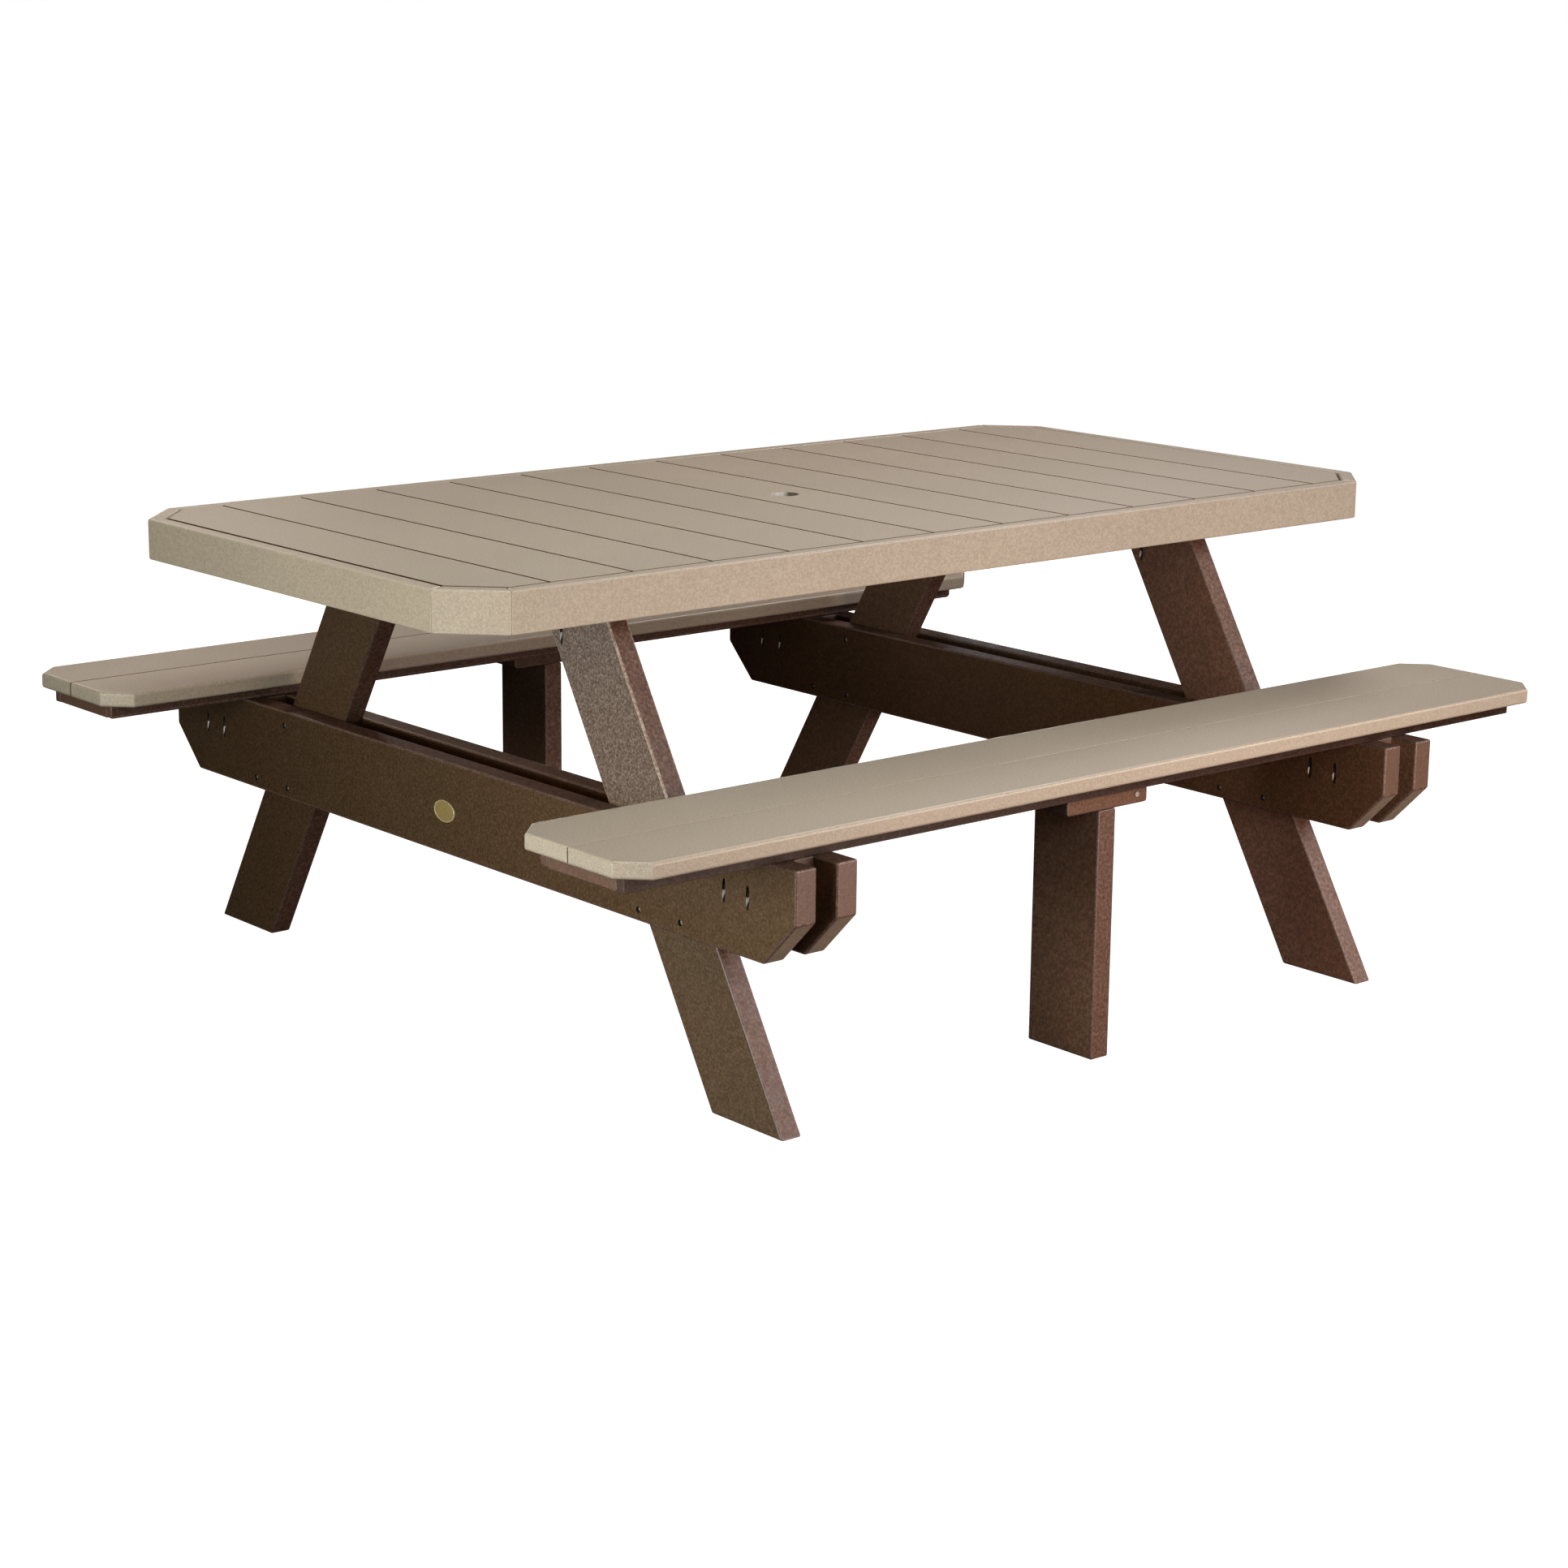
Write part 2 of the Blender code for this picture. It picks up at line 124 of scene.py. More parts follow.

# Boards whose tint differs: that of the broad faces, and the tone of the edges and ends
# partly each board's own tone, and partly painted light and shade
BOARD_TINTS_AND_PAINTED_LIGHT = {
    "leg_left_front": ((1.10, 1.32, 1.30), 1.0),
    "leg_left_rear": ((0.80, 0.86, 0.72), 0.47),
    "leg_right_front": ((1.40, 1.32, 1.48), 1.15),
    "leg_right_rear": ((1.40, 1.40, 1.30), 1.0),
    "beam_left_outer": ((0.77, 0.83, 0.68), 1.0),
    "beam_left_inner": ((0.50, 0.46, 0.38), 1.08),
    "beam_right_inner": ((0.84, 0.76, 0.60), 1.05),
    "centre_post_front": ((1.10, 1.10, 1.12), 0.88),
    "centre_post_rear": ((2.00, 2.20, 2.30), 1.10),
    "post_cleat_front": ((0.80, 0.72, 0.66), 0.66),
    "bearer_front": ((1.00, 1.00, 1.00), 1.15),
    "bearer_strip_outer_front": ((1.00, 1.00, 1.00), 0.55),
}
PAINTED_GLARE_BOARDS = ("leg_left_front",)     # painted grey glare above the benches
PAINTED_GLARE_HEIGHTS = (0.38, 0.46)
PAINTED_LIGHT_Y = (-0.75, 0.65)              # from the front of the table to its rear
PAINTED_LIGHT_TONES = (1.38, 0.66)           # the tone of brown broad faces at those two places: painted light, paler at the front

# Board colours: shadow fleck, body and light fleck
TAN = ((0.355, 0.29, 0.215), (0.41, 0.338, 0.255), (0.47, 0.395, 0.305))
BROWN = ((0.080, 0.040, 0.023), (0.118, 0.060, 0.034), (0.170, 0.090, 0.053))
BROWN_SAWN = ((0.105, 0.056, 0.036), (0.130, 0.071, 0.047), (0.160, 0.090, 0.062))
BROWN_EDGE = ((0.080, 0.037, 0.022), (0.130, 0.067, 0.043), (0.205, 0.115, 0.083))
# grey flecks above the benches: painted glare
PAINTED_GLARE = ((0.110, 0.070, 0.050), (0.205, 0.142, 0.112), (0.340, 0.260, 0.215))
# paler, for brown boards' downward sawn faces: painted light
UNDERCUT_PAINTED_LIGHT = ((0.215, 0.165, 0.115), (0.265, 0.205, 0.148), (0.320, 0.255, 0.190))
# dark, for the gaps and joints between boards: painted shade
GAP = ((0.080, 0.038, 0.016), (0.110, 0.054, 0.024), (0.140, 0.072, 0.034))
# near black, for the deep parts of slots and pits: painted shade
DEEP_PAINTED_SHADE = ((0.012, 0.008, 0.006), (0.018, 0.012, 0.009), (0.025, 0.017, 0.012))
# pale and dark walls of the umbrella hole: painted light and painted shade
TAN_BORE_PAINTED_LIGHT = ((0.78, 0.70, 0.62), (0.83, 0.75, 0.67), (0.88, 0.80, 0.72))
TAN_HOLE_PAINTED_SHADE = ((0.13, 0.09, 0.06), (0.17, 0.12, 0.085), (0.21, 0.155, 0.11))
# pale walls of the slots: a painted glint
BROWN_BORE_PAINTED_GLINT = ((0.58, 0.45, 0.36), (0.68, 0.54, 0.44), (0.78, 0.63, 0.52))

# A bore's painted bright wall: the way it looks, and the cosines where it starts and is full
BROWN_PAINTED_GLINT = ((-0.5, -0.866, 0), 0.91, 0.99)
TAN_PAINTED_LIT_SIDE = ((0.76, -0.65, 0), -0.3, 0.1)

STEEL = (0.60, 0.58, 0.55)
BRASS = (0.63, 0.45, 0.165)
PALE_BRASS = (0.80, 0.68, 0.45)


# ---------------------------------------------------------------- materials

MOTTLE = 3.1                        # size of the mottling, in flecks
CLOUD = 0.16                        # size of the slow changes of tone, in metres
NOISE = (0.3, 0.7)                  # between these lies nearly all of a noise

# The colour sockets of a Mix node, by number because others have the same names
MIX_A, MIX_B, MIX_RESULT = 6, 7, 2


def node(tree, kind, inputs=None, **settings):
    """Adds a node; inputs holds values and sockets for its input sockets."""
    made = tree.nodes.new(kind)
    for key, value in settings.items():
        setattr(made, key, value)
    for key, value in (inputs or {}).items():
        if isinstance(value, bpy.types.NodeSocket):
            tree.links.new(value, made.inputs[key])
        else:
            made.inputs[key].default_value = value
    return made


def new_material(name):
    mat = bpy.data.materials.new(name)
    mat.use_nodes = True
    tree = mat.node_tree
    return mat, tree, tree.nodes["Principled BSDF"]


def math_node(tree, operation, *values):
    return node(tree, "ShaderNodeMath", dict(enumerate(values)), operation=operation).outputs[0]


def board_chance(tree):
    """A number from 0 to 1 that differs from board to board."""
    return node(tree, "ShaderNodeObjectInfo").outputs["Random"]


def board_place(tree):
    """A point on the board, shifted so that no two boards have the same pattern."""
    point = node(tree, "ShaderNodeTexCoord").outputs["Object"]
    chance = board_chance(tree)
    shift = node(tree, "ShaderNodeCombineXYZ",
                 {"X": math_node(tree, "MULTIPLY", chance, 37.0),
                  "Y": math_node(tree, "MULTIPLY", chance, 71.0)})
    return node(tree, "ShaderNodeVectorMath", {0: point, 1: shift.outputs[0]}).outputs[0]


def world_place(tree, coordinate):
    """One coordinate, X, Y or Z, of a point in the frame."""
    point = node(tree, "ShaderNodeNewGeometry").outputs["Position"]
    return node(tree, "ShaderNodeSeparateXYZ", {"Vector": point}).outputs[coordinate]


def noise(tree, place, size, detail=2.0, roughness=0.5):
    """Noise whose lumps are about size metres across."""
    made = node(tree, "ShaderNodeTexNoise",
                {"Vector": place, "Scale": 0.5 / size, "Detail": detail,
                 "Roughness": roughness})
    return made.outputs["Fac"]


def spread(tree, value, low, high, to_low, to_high):
    """Maps a value from one range to another, and clamps it."""
    made = node(tree, "ShaderNodeMapRange",
                {"Value": value, "From Min": low, "From Max": high, "To Min": to_low,
                 "To Max": to_high})
    return made.outputs["Result"]


def fleck_colours(tree, flecks, colours):
    """Shadow flecks, body and light flecks, as a colour."""
    ramp = node(tree, "ShaderNodeValToRGB", {"Fac": flecks})
    stops = ramp.color_ramp.elements
    stops[0].position, stops[0].color = 0.32, (*colours[0], 1)
    stops[1].position, stops[1].color = 0.68, (*colours[2], 1)
    middle = stops.new(0.5)
    middle.color = (*colours[1], 1)
    return ramp.outputs["Color"]


def multiplied(tree, colour, factor):
    made = node(tree, "ShaderNodeVectorMath", {0: colour, 1: factor}, operation="MULTIPLY")
    return made.outputs[0]


def mixed(tree, share, first, second):
    """The first colour where share is 0, and the second where it is 1."""
    made = node(tree, "ShaderNodeMix", {"Factor": share, MIX_A: first, MIX_B: second},
                data_type="RGBA")
    return made.outputs[MIX_RESULT]


def painted_glare_above(tree, flecks, colour, painted_glare):
    """The colour below the benches, and grey flecks above them: a painted glare."""
    share = spread(tree, world_place(tree, "Z"), *PAINTED_GLARE_HEIGHTS, 0.0, 1.0)
    return mixed(tree, share, colour, fleck_colours(tree, flecks, painted_glare))


def painted_light_to_front(tree):
    """Brown broad faces are paler towards the front of the table: painted light."""
    return spread(tree, world_place(tree, "Y"), *PAINTED_LIGHT_Y, *PAINTED_LIGHT_TONES)


def lumber(name, colours, fleck, depth, roughness, specular, tint="", painted_light=False, painted_glare=None):
    """Speckled plastic lumber: flecks, mottling, a slow change of tone, and a pebbled skin.

    Flecks are fleck metres across, and the skin is depth metres deep.  The board's tint, partly
    its own tone and partly painted light and shade, is its object colour, "Color", for broad
    faces, or its alpha, "Alpha", for edges.  The last two arguments paint light: brown broad faces
    paler towards the front of the table, and a grey glare above the benches.
    """
    mat, tree, shader = new_material(name)
    place = board_place(tree)
    fine = noise(tree, place, fleck, 2.0, 0.6)
    coarse = noise(tree, place, fleck * MOTTLE, 2.0, 0.55)
    cloud = noise(tree, place, CLOUD, 3.0, 0.5)
    tone = math_node(tree, "ADD", spread(tree, coarse, *NOISE, 0.965, 1.035),
                     spread(tree, cloud, *NOISE, -0.03, 0.03))
    tone = math_node(tree, "ADD", tone, spread(tree, board_chance(tree), 0, 1, -0.025, 0.025))
    # painted light: brown broad faces paler towards the front
    if painted_light:
        tone = math_node(tree, "MULTIPLY", tone, painted_light_to_front(tree))
    colour = multiplied(tree, fleck_colours(tree, fine, colours), tone)
    if tint:
        colour = multiplied(tree, colour, node(tree, "ShaderNodeObjectInfo").outputs[tint])
    # painted grey glare above the benches
    if painted_glare:
        colour = painted_glare_above(tree, fine, colour, painted_glare)
    tree.links.new(colour, shader.inputs["Base Color"])
    gloss = spread(tree, coarse, *NOISE, roughness - 0.05, roughness + 0.07)
    tree.links.new(gloss, shader.inputs["Roughness"])
    height = math_node(tree, "ADD", fine, math_node(tree, "MULTIPLY", coarse, 0.6))
    bump = node(tree, "ShaderNodeBump", {"Height": height, "Strength": 1.0, "Distance": depth})
    tree.links.new(bump.outputs["Normal"], shader.inputs["Normal"])
    shader.inputs["Specular IOR Level"].default_value = specular
    return mat


def painted_bore(name, bright, dark, side, low, high):
    """A smooth bored wall with a painted glint where it looks to one side, and painted shade
    elsewhere.

    The change runs from low to high, as cosines of the angle between the wall's normal and side.
    """
    mat, tree, shader = new_material(name)
    flecks = noise(tree, board_place(tree), 0.001, 2.0, 0.6)
    normal = node(tree, "ShaderNodeNewGeometry").outputs["Normal"]
    looking = node(tree, "ShaderNodeVectorMath", {0: normal, 1: side}, operation="DOT_PRODUCT")
    share = spread(tree, looking.outputs["Value"], low, high, 0.0, 1.0)
    colour = mixed(tree, share, fleck_colours(tree, flecks, dark),
                   fleck_colours(tree, flecks, bright))
    tree.links.new(colour, shader.inputs["Base Color"])
    tree.links.new(spread(tree, flecks, *NOISE, 0.25, 0.35), shader.inputs["Roughness"])
    bump = node(tree, "ShaderNodeBump", {"Height": flecks, "Strength": 1.0, "Distance": 0.00003})
    tree.links.new(bump.outputs["Normal"], shader.inputs["Normal"])
    return mat


def tinted(colours, gain, wash=0.0):
    """The same colours brighter by gain and washed towards grey."""
    made = []
    for colour in colours:
        grey = sum(colour) / 3
        made.append(tuple(gain * (part + (grey - part) * wash) for part in colour))
    return made


def tan_finishes():
    """Finishes of a tan board, in the order of SKIN, SAWN, ROUTED, EDGE, UNDERCUT_FACE."""
    skin = lumber("tan_skin", TAN, fleck=0.0016, depth=0.00010, roughness=0.54, specular=0.45)
    sawn = lumber("tan_sawn", tinted(TAN, 1.1, wash=0.05), fleck=0.0015, depth=0.00010,
                  roughness=0.6, specular=0.5)
    routed = lumber("tan_routed", tinted(TAN, 1.08), fleck=0.0015, depth=0.00005,
                    roughness=0.34, specular=0.5)
    return [skin, sawn, routed, skin, sawn]


def slat_finishes(tan, gap):
    """A slat is like any tan board, but its sides, routed edges and ends are dark: painted shade
    in the gaps.
    """
    end = lumber("slat_end", tinted(TAN, 0.6), fleck=0.0015, depth=0.00010, roughness=0.7,
                 specular=0.2)
    routed = lumber("slat_routed", tinted(GAP, 1.5), fleck=0.0015, depth=0.00005,
                    roughness=0.8, specular=0.1)
    return [tan[SKIN], end, routed, gap, gap]


def rail_finishes(brown):
    """The long rails have darker sides: painted shade under the top and the benches."""
    side = lumber("rail_side", tinted(BROWN_EDGE, 0.62), fleck=0.0024, depth=0.00020,
                  roughness=0.5, specular=0.25, tint="Alpha")
    return brown[:EDGE] + [side, brown[UNDERCUT_FACE]]


def brown_finishes():
    """Finishes of a brown board, in the same order."""
    skin = lumber("brown_skin", BROWN, fleck=0.0022, depth=0.00018, roughness=0.45,
                  specular=0.4, tint="Color", painted_light=True)
    sawn = lumber("brown_sawn", BROWN_SAWN, fleck=0.0016, depth=0.00012, roughness=0.5,
                  specular=0.4, tint="Alpha")
    # paler and greyer: a painted highlight on the rounded edges
    routed = lumber("brown_routed", tinted(BROWN_EDGE, 1.15, wash=0.2), fleck=0.0018,
                    depth=0.00008, roughness=0.38, specular=0.5, tint="Alpha")
    edge = lumber("brown_edge", BROWN_EDGE, fleck=0.0026, depth=0.00025, roughness=0.45,
                  specular=0.35, tint="Alpha")
    # paler downward sawn faces: painted light
    painted_underlight = lumber("brown_undercut", UNDERCUT_PAINTED_LIGHT, fleck=0.0022, depth=0.00015, roughness=0.5,
                      specular=0.4)
    return [skin, sawn, routed, edge, painted_underlight]


def painted_glare_finishes(brown):
    """A brown board whose broad faces and routed edges get a painted grey glare above the benches.
    """
    skin = lumber("greyed_skin", BROWN, fleck=0.0020, depth=0.00022, roughness=0.42,
                  specular=0.4, tint="Color", painted_glare=PAINTED_GLARE)
    # paler, greyer rounded edges: a painted highlight, with painted glare above the benches
    routed = lumber("greyed_routed", tinted(BROWN_EDGE, 1.15, wash=0.2), fleck=0.0018,
                    depth=0.00008, roughness=0.35, specular=0.6, tint="Alpha",
                    painted_glare=tinted(PAINTED_GLARE, 1.7))
    return [skin, brown[SAWN], routed] + brown[EDGE:]


def metal(name, colour, roughness, tarnish, metallic):
    """Metal with fine scratches and patches of tarnish."""
    mat, tree, shader = new_material(name)
    place = board_place(tree)
    patches = noise(tree, place, 0.003, 3.0, 0.6)
    scratches = noise(tree, place, 0.0004, 2.0)
    dull = tuple(part * tarnish for part in colour)
    colours = mixed(tree, patches, (*colour, 1), (*dull, 1))
    tree.links.new(colours, shader.inputs["Base Color"])
    gloss = spread(tree, scratches, *NOISE, roughness - 0.08, roughness + 0.12)
    tree.links.new(gloss, shader.inputs["Roughness"])
    bump = node(tree, "ShaderNodeBump", {"Height": scratches, "Strength": 0.3, "Distance": 0.0001})
    tree.links.new(bump.outputs["Normal"], shader.inputs["Normal"])
    shader.inputs["Metallic"].default_value = metallic
    return mat


# ---------------------------------------------------------------- boards

def board_outline(name, axis):
    """The sharp outline of a CAD board, seen along an axis.

    The CAD boards have chamfered edges, so the outline's long sides are kept and carried on
    until they meet.
    """
    across, up = (axis + 1) % 3, (axis + 2) % 3
    points = [Vector((v.co[across], v.co[up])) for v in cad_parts[name].data.vertices]
    hull = [points[i] for i in convex_hull_2d(points)]
    if sum(a.cross(b) for a, b in zip(hull, hull[1:] + hull[:1])) < 0:
        hull.reverse()
    sides = []
    for start, end in zip(hull, hull[1:] + hull[:1]):
        run = end - start
        if run.length < SHORTEST_SIDE:
            continue
        if sides and abs(sides[-1][1].angle_signed(run)) < SAME_WAY:
            continue
        sides.append((start, run))
    if abs(sides[0][1].angle_signed(sides[-1][1])) < SAME_WAY:
        sides.pop()
    corners = []
    for (before, run), (start, next_run) in zip(sides[-1:] + sides[:-1], sides):
        share = (start - before).cross(next_run) / run.cross(next_run)
        corners.append(before + run * share)
    return corners


def near_seam(y, reach):
    """Whether a place across the table is at the joint between a bench's two boards."""
    return abs(abs(y) - SEAT_SEAM_Y) < reach


def prism(outline, axis, low, high, long_radius, corner_radius):
    """A closed board with that outline, and each edge's bevel weight."""
    across, up = (axis + 1) % 3, (axis + 2) % 3
    bm = bmesh.new()
    rings = []
    for level in (low, high):
        ring = []
        for point in outline:
            place = [0.0, 0.0, 0.0]
            place[across], place[up], place[axis] = point.x, point.y, level
            ring.append(bm.verts.new(place))
        rings.append(ring)
    bm.faces.new(reversed(rings[0]))
    bm.faces.new(rings[1])
    for i in range(len(outline)):
        j = (i + 1) % len(outline)
        side = bm.faces.new((rings[0][i], rings[0][j], rings[1][j], rings[1][i]))
        side.material_index = EDGE
    weight = bm.edges.layers.float.new("bevel_weight_edge")
    widest = max(long_radius, corner_radius)
    for edge in bm.edges:
        along = (edge.verts[0].co - edge.verts[1].co).normalized()
        radius = corner_radius if abs(along[axis]) > LEVEL else long_radius
        if axis == 2 and all(near_seam(vert.co.y, SEAM_REACH) for vert in edge.verts):
            radius = SHARP
        edge[weight] = radius / widest
    bm.normal_update()
    return bm


def mark_sawn_ends(bm, outline, axis):
    """Faces across the board's length are sawn, and some of them face downward."""
    across, up = (axis + 1) % 3, (axis + 2) % 3
    sides = [b - a for a, b in zip(outline, outline[1:] + outline[:1])]
    longest = max(sides, key=lambda side: side.length).normalized()
    length = Vector((0.0, 0.0, 0.0))
    length[across], length[up] = longest
    for face in bm.faces:
        if abs(face.normal.dot(length)) > ACROSS:
            face.material_index = UNDERCUT_FACE if face.normal.z < FACING_DOWN else SAWN


def settle(obj):
    """Applies an object's modifiers, marks its sharp edges and keeps its flats flat."""
    evaluated = obj.evaluated_get(bpy.context.evaluated_depsgraph_get())
    mesh = bpy.data.meshes.new_from_object(evaluated)
    obj.modifiers.clear()
    obj.data = mesh
    mesh.name = obj.name
    mesh.shade_smooth()
    mesh.set_sharp_from_angle(angle=SMOOTH_ANGLE)
    weighted = obj.modifiers.new("flat_faces", "WEIGHTED_NORMAL")
    weighted.keep_sharp = True
    weighted.weight = 100


def add_piece(name, bm, place, finishes):
    """An object at place, made from a bmesh whose points are in the frame."""
    mesh = bpy.data.meshes.new(name)
    bmesh.ops.translate(bm, vec=-place, verts=bm.verts)
    bm.to_mesh(mesh)
    bm.free()
    obj = bpy.data.objects.new(name, mesh)
    obj.location = place
    bpy.context.scene.collection.objects.link(obj)
    for finish in finishes:
        mesh.materials.append(finish)
    return obj


def drill(obj, centre, axis, radius, length, finishes):
    """Cuts a round hole into a board; its walls have one finish below and one above."""
    bm = bmesh.new()
    bmesh.ops.create_cone(bm, cap_ends=True, segments=BORE_SIDES, radius1=radius,
                          radius2=radius, depth=length)
    bmesh.ops.bisect_plane(bm, geom=bm.verts[:] + bm.edges[:] + bm.faces[:], plane_co=(0, 0, 0),
                           plane_no=(0, 0, 1))
    for face in bm.faces:
        face.material_index = 1 if face.calc_center_median().z > 0 else 0
    turn = Vector((0, 0, 1)).rotation_difference(Vector(axis)).to_matrix().to_4x4()
    bmesh.ops.transform(bm, matrix=Matrix.Translation(centre) @ turn, verts=bm.verts)
    cutter = add_piece("cutter", bm, Vector(), finishes)
    cut = obj.modifiers.new("drilled", "BOOLEAN")
    cut.operation = "DIFFERENCE"
    cut.solver = "EXACT"
    cut.material_mode = "TRANSFER"
    cut.object = cutter
    CUTTERS.append(cutter)


def slot_axis(inward):
    """The way a slot is drilled: up, and leaning into the board."""
    tilt = math.asin(2 * SLOT_RADIUS / SLOT_LENGTH)
    return Vector((inward * math.sin(tilt), 0, math.cos(tilt)))


def drill_slot(obj, face_x, inward, y, z, bores):
    axis = slot_axis(inward)
    centre = Vector((face_x, y, z)) + axis * (SLOT_RUN - SLOT_LENGTH) / 2
    # the slot's lower half gets the painted glint and shade, its upper half painted shade
    drill(obj, centre, axis, SLOT_RADIUS, SLOT_RUN + SLOT_LENGTH, (bores["pale"], bores["deep"]))


def drill_pit(obj, face_x, y, z, bores):
    # the pit is painted shade
    drill(obj, Vector((face_x, y, z)), (1, 0, 0), PIT_RADIUS, 2 * PIT_DEPTH,
          (bores["deep"], bores["deep"]))


def outward_side(name, low, high):
    """Which way a beam's outward face looks, and where that face is."""
    outward = -1 if high.x < 0 else 1
    if name.endswith("inner"):
        outward = -outward
    return outward, high.x if outward > 0 else low.x


def drill_board(name, obj, bores):
    """Cuts the slots, the screw pits and the umbrella hole that a board has."""
    low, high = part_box(name)
    if name.startswith("beam_"):
        outward, face_x = outward_side(name, low, high)
        for side in (-1, 1):
            for y in BEAM_SLOT_Y:
                drill_slot(obj, face_x, -outward, side * y, BEAM_SLOT_Z, bores)
            for y, z in FRAME_SCREWS:
                drill_pit(obj, face_x, side * y, z, bores)
    if name.startswith("leg_"):
        side = -1 if high.y < 0 else 1
        drill_slot(obj, low.x, 1, side * LEG_SLOT_Y[-1], LEG_SLOT_Z, bores)
        drill_slot(obj, high.x, -1, side * LEG_SLOT_Y[1], LEG_SLOT_Z, bores)
    if name.startswith("slat_") and low.x < 0 < high.x:
        # the hole's walls: painted light on one side and painted shade on the other
        drill(obj, Vector((0, 0, high.z)), (0, 0, 1), UMBRELLA_HOLE / 2, 4 * (high.z - low.z),
              (bores["tan"], bores["tan"]))


def joint_painted_shade(obj):
    """The joint between a bench's two boards is dark: painted shade."""
    for face in obj.data.polygons:
        if near_seam(obj.location.y + face.center.y, JOINT_SHADE_REACH):
            face.material_index = UNDERCUT_FACE


def rebuild_board(name, axis, long_radius, corner_radius, finishes, bores):
    """Replaces a CAD board with one that has round edges and finished surfaces."""
    low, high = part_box(name)
    outline = board_outline(name, axis)
    bm = prism(outline, axis, low[axis], high[axis], long_radius, corner_radius)
    mark_sawn_ends(bm, outline, axis)
    obj = add_piece(name + "_board", bm, (low + high) / 2, finishes)
    bevel = obj.modifiers.new("round_edges", "BEVEL")
    bevel.limit_method = "WEIGHT"
    bevel.width = max(long_radius, corner_radius)
    bevel.segments = ROUND_STEPS
    bevel.material = ROUTED
    # a tint that is partly painted light and shade
    tint, edge_tone = BOARD_TINTS_AND_PAINTED_LIGHT.get(name, ((1.0, 1.0, 1.0), 1.0))
    obj.color = (*tint, edge_tone)
    drill_board(name, obj, bores)
    settle(obj)
    # painted shade at the rear bench's joint
    if name.startswith("seat_rear"):
        joint_painted_shade(obj)
    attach(obj, "root")
    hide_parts(name)


def board_finishes():
    """Every kind of board's finishes."""
    tan = tan_finishes()
    brown = brown_finishes()
    gap = lumber("gap", GAP, fleck=0.0015, depth=0.00010, roughness=0.8, specular=0.0)
    return {"slat_boards": slat_finishes(tan, gap),
            "apron_boards": tan,
            # a bench's downward sawn faces take the same painted shade
            "seat_boards": tan[:UNDERCUT_FACE] + [gap],
            "frame_boards": brown,
            "rails": rail_finishes(brown),
            "painted_glare": painted_glare_finishes(brown)}


def bore_finishes():
    return {"pale": painted_bore("brown_bore", BROWN_BORE_PAINTED_GLINT, DEEP_PAINTED_SHADE, *BROWN_PAINTED_GLINT),
            "tan": painted_bore("tan_bore", TAN_BORE_PAINTED_LIGHT, TAN_HOLE_PAINTED_SHADE, *TAN_PAINTED_LIT_SIDE),
            "deep": lumber("deep_bore", DEEP_PAINTED_SHADE, fleck=0.0011, depth=0.00004, roughness=0.6,
                           specular=0.3)}


def kind_of_board(name, slot, axis):
    # the board with painted glare
    if name in PAINTED_GLARE_BOARDS:
        return "painted_glare"
    if slot == "frame_boards" and axis == 2:
        return "rails"
    return slot


def rebuild_boards():
    finishes = board_finishes()
    bores = bore_finishes()
    for name in sorted(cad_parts):
        for prefix, slot, axis, long_radius, corner_radius in FAMILIES:
            if name.startswith(prefix):
                rebuild_board(name, axis, long_radius, corner_radius,
                              finishes[kind_of_board(name, slot, axis)], bores)
                break
    for cutter in CUTTERS:
        bpy.data.objects.remove(cutter, do_unlink=True)


# ---------------------------------------------------------------- screws and badge

def turned(name, profile, direction, place, finish, sides=24, stretch=(1.0, 1.0)):
    """A closed round part turned from a profile, standing on place along a direction.

    The profile has rings of (radius, height, lobe depth), in inches, from the bottom up.
    """
    bm = bmesh.new()
    rings = []
    for radius, height, lobes in profile:
        ring = []
        for k in range(sides):
            angle = 2 * math.pi * k / sides
            reach = radius * (1 - lobes * (0.5 + 0.5 * math.cos(DRIVE_LOBES * angle)))
            ring.append(bm.verts.new((stretch[0] * reach * math.cos(angle) * INCH,
                                      stretch[1] * reach * math.sin(angle) * INCH,
                                      height * INCH)))
        rings.append(ring)
    for lower, upper in zip(rings, rings[1:]):
        for k in range(sides):
            bm.faces.new((lower[k], lower[k - 1], upper[k - 1], upper[k]))
    bm.faces.new(rings[0])
    bm.faces.new(reversed(rings[-1]))
    bmesh.ops.recalc_face_normals(bm, faces=bm.faces)
    turn = Vector((0, 0, 1)).rotation_difference(Vector(direction)).to_matrix().to_4x4()
    bmesh.ops.transform(bm, matrix=Matrix.Translation(place) @ turn, verts=bm.verts)
    obj = add_piece(name, bm, Vector(place), (finish,))
    settle(obj)
    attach(obj, "root")
    return obj


def screw_frame(steel):
    """Screw heads in the pits of the beams."""
    for name in sorted(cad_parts):
        if not name.startswith("beam_"):
            continue
        low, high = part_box(name)
        outward, face_x = outward_side(name, low, high)
        for side, place in (("front", -1), ("rear", 1)):
            for k, (y, z) in enumerate(FRAME_SCREWS, 1):
                floor_x = face_x - outward * PIT_DEPTH
                screw = turned(f"{name}_screw_{side}_{k}", WASHER_HEAD, (outward, 0, 0),
                               (floor_x, place * y, z), steel)


def rebuild_cleat_screws(steel):
    """Flat heads, sunk a little into the cleats."""
    for side in ("front", "rear"):
        name = "cleat_screw_" + side
        low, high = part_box(name)
        outward = -1 if high.y < 0 else 1
        middle = (low + high) / 2
        face_y = high.y if outward < 0 else low.y
        screw = turned(name + "_head", FLAT_HEAD, (0, outward, 0),
                       (middle.x, face_y - outward * CLEAT_SINK, middle.z), steel)
        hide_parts(name)


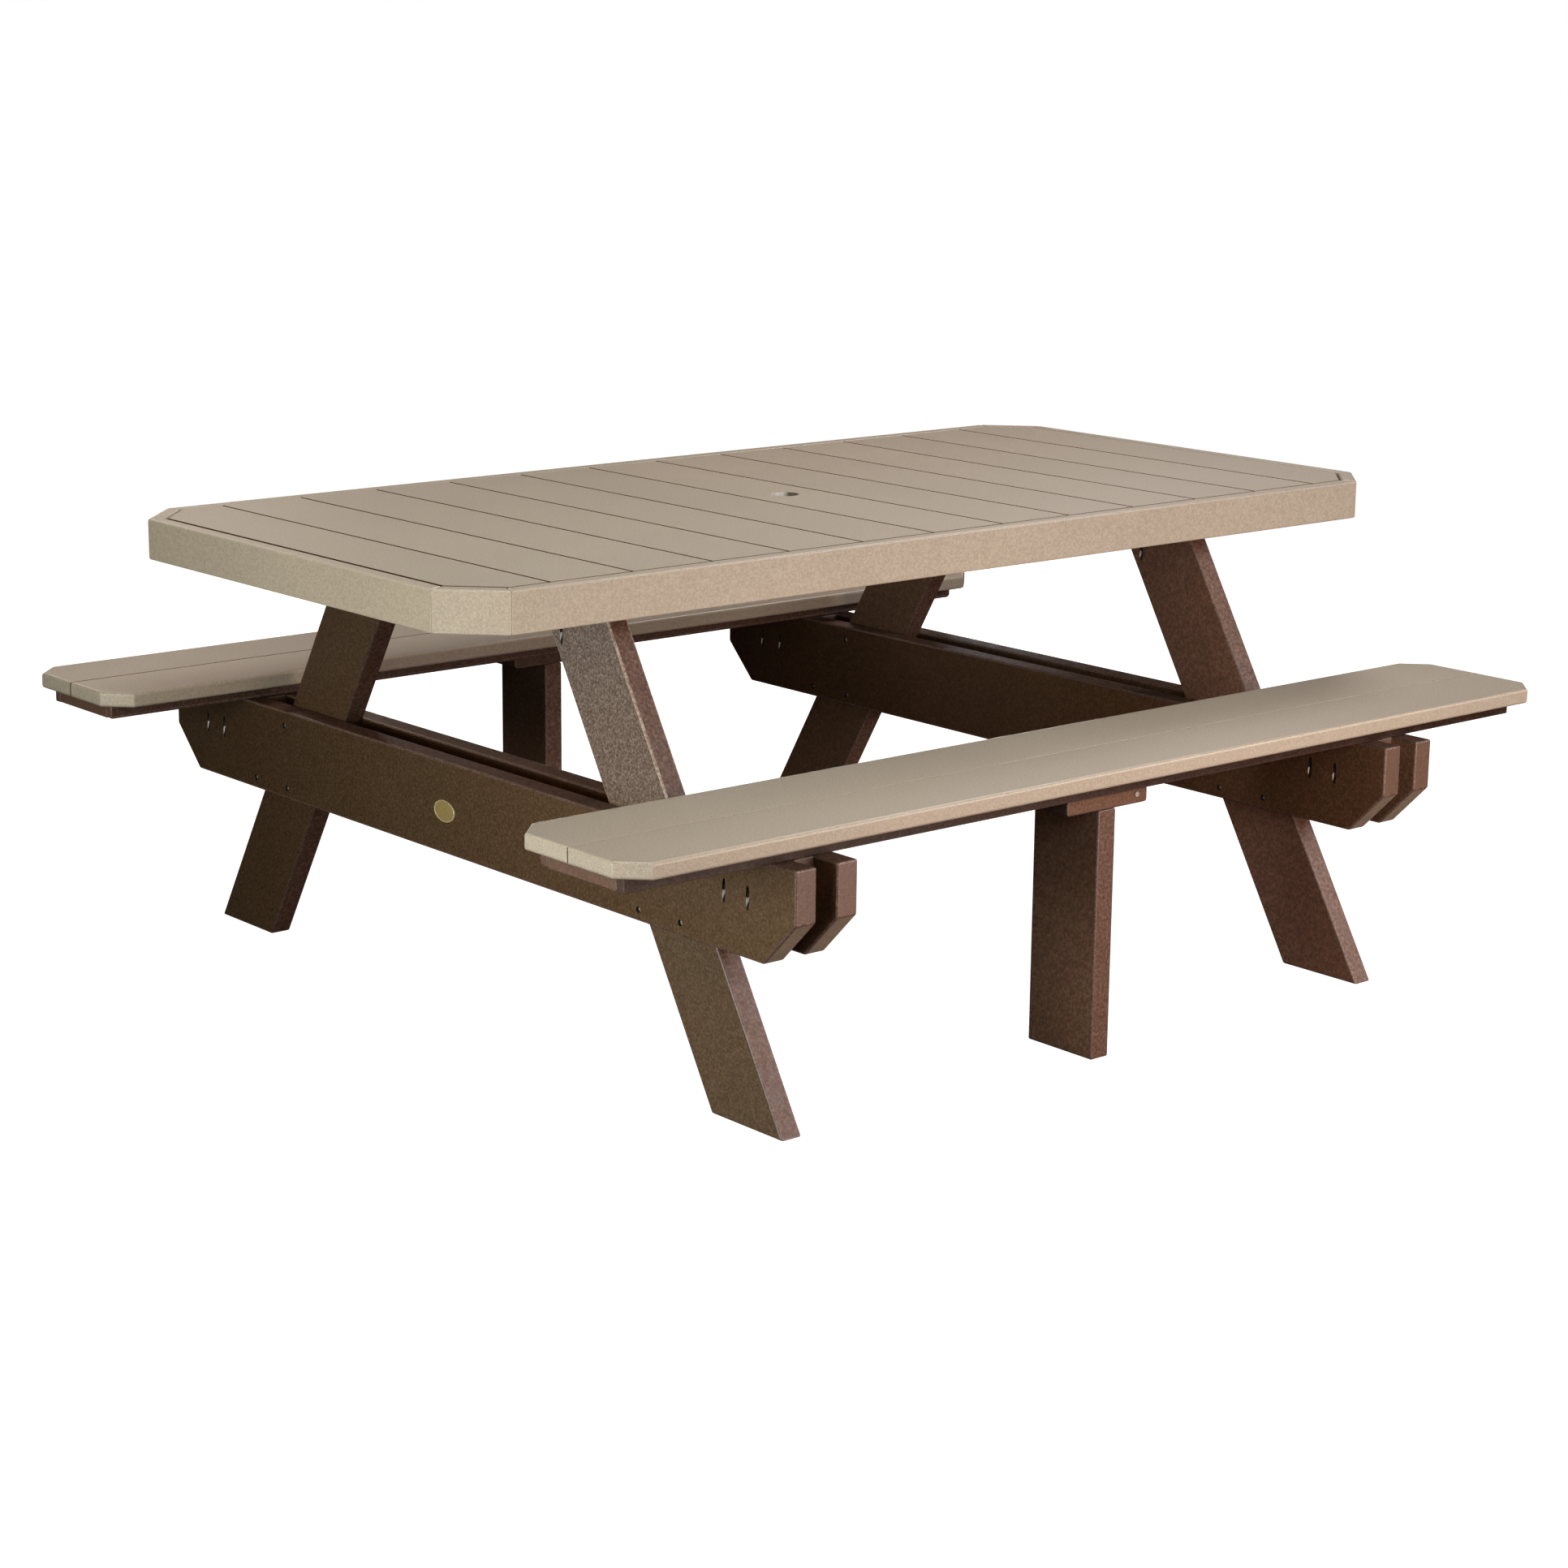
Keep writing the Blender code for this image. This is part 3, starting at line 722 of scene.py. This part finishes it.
def rebuild_badge(brass, field):
    """A plain oval badge with a raised, polished rim round a dull field."""
    low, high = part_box("badge")
    middle = (low + high) / 2
    radii = (high - low) / 2 / INCH
    badge = turned("badge_plate", BADGE_PROFILE, (-1, 0, 0), (high.x, middle.y, middle.z),
                   brass, BADGE_SIDES, (radii.z, radii.y))
    badge.data.materials.append(field)
    for face in badge.data.polygons:
        reach = Vector((face.center.y / radii.y, face.center.z / radii.z)).length / INCH
        if reach < BADGE_RIM and face.normal.x < 0:
            face.material_index = 1
    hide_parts("badge")


# ---------------------------------------------------------------- studio

def make_camera():
    data = bpy.data.cameras.new("camera")
    data.lens = CAMERA_LENS
    camera = bpy.data.objects.new("camera", data)
    bpy.context.scene.collection.objects.link(camera)
    camera.matrix_world = (Matrix.Translation(CAMERA_PLACE)
                           @ Matrix.Rotation(CAMERA_HEADING - math.pi / 2, 4, "Z")
                           @ Matrix.Rotation(math.pi / 2 + CAMERA_PITCH, 4, "X")
                           @ Matrix.Rotation(CAMERA_ROLL, 4, "Z"))
    bpy.context.scene.camera = camera


# Soft lights: name, place, width, height, power in watts, colour; all face the table
LIGHTS = (
    ("front_low", (0.2, -2.4, 0.35), 1.2, 0.9, 26, (1.0, 0.79, 0.71)),
    ("front_left", (-1.4, -2.8, 1.6), 1.2, 0.9, 15, (0.86, 0.98, 0.92)),
    ("front", (1.4, -2.8, 1.8), 1.2, 0.9, 21, (0.82, 0.90, 1.0)),
    ("front_right", (3.0, -3.2, 1.9), 1.2, 0.9, 51, (1.0, 0.945, 0.92)),
    ("left", (-3.4, -0.3, 0.7), 1.2, 0.9, 36, (0.90, 1.0, 0.95)),
    ("left_near", (-2.0, -0.9, 0.35), 0.7, 0.6, 7.5, (0.90, 0.96, 1.0)),
    ("left_high", (-2.8, -1.1, 1.6), 1.2, 0.9, 8, (1.0, 0.55, 0.20)),
    ("top", (0.3, 0.0, 2.4), 1.2, 0.9, 7, (1.0, 0.80, 0.78)),
    ("top_left", (-1.0, -0.4, 2.6), 1.2, 0.9, 25, (0.84, 0.94, 1.0)),
    ("top_right", (2.5, 1.2, 3.0), 1.2, 0.9, 37, (1.0, 0.94, 0.90)),
    ("rear", (0.5, 3.5, 1.8), 1.2, 0.9, 15, (1.0, 0.82, 0.70)),
    ("rear_low", (2.4, 3.2, 0.4), 2.0, 0.5, 40, (1.0, 1.0, 1.0)),
)
TARGET = Vector((0.0, 0.0, 0.5))
SURROUND = (0.004, 0.004, 0.004, 1)
WHITE = (1, 1, 1, 1)
FLOOR_RADIUS = 300.0
FLOOR_GAP = 0.0005                  # between the table's feet and the floor


def make_lights():
    for name, place, width, height, power, colour in LIGHTS:
        data = bpy.data.lights.new(name, "AREA")
        data.shape = "RECTANGLE"
        data.size = width
        data.size_y = height
        data.energy = power
        data.color = colour
        light = bpy.data.objects.new(name, data)
        light.location = place
        light.visible_camera = False
        light.rotation_euler = (TARGET - light.location).to_track_quat("-Z", "Y").to_euler()
        bpy.context.scene.collection.objects.link(light)


def make_world():
    """A dim, even surround that shows white behind the floor."""
    world = bpy.data.worlds.new("surround")
    bpy.context.scene.world = world
    world.use_nodes = True
    tree = world.node_tree
    tree.nodes.clear()
    seen = node(tree, "ShaderNodeLightPath").outputs["Is Camera Ray"]
    background = node(tree, "ShaderNodeBackground", {"Color": mixed(tree, seen, SURROUND, WHITE)})
    output = node(tree, "ShaderNodeOutputWorld")
    tree.links.new(background.outputs[0], output.inputs["Surface"])


def make_floor():
    """A plain white floor that only the camera sees: it casts no light onto the table."""
    bm = bmesh.new()
    bmesh.ops.create_circle(bm, cap_ends=True, segments=64, radius=FLOOR_RADIUS)
    mesh = bpy.data.meshes.new("floor")
    bm.to_mesh(mesh)
    bm.free()
    floor = bpy.data.objects.new("floor", mesh)
    floor.location.z = -FLOOR_GAP
    bpy.context.scene.collection.objects.link(floor)
    mat, tree, shader = new_material("floor")
    shader.inputs["Base Color"].default_value = (0.45, 0.45, 0.45, 1)
    shader.inputs["Roughness"].default_value = 0.9
    shader.inputs["Specular IOR Level"].default_value = 0.0
    shader.inputs["Emission Color"].default_value = WHITE
    shader.inputs["Emission Strength"].default_value = 1.0
    mesh.materials.append(mat)
    floor.visible_diffuse = False
    floor.visible_glossy = False
    floor.visible_shadow = False


CUTTERS = []
bpy.context.scene.view_settings.view_transform = "Standard"
make_camera()
make_world()
make_lights()
make_floor()
rebuild_boards()
steel = metal("steel", STEEL, 0.32, 0.6, 0.35)
screw_frame(steel)
rebuild_cleat_screws(steel)
rebuild_badge(metal("polished_brass", PALE_BRASS, 0.3, 0.85, 0.3),
              metal("brass", BRASS, 0.42, 0.7, 0.45))
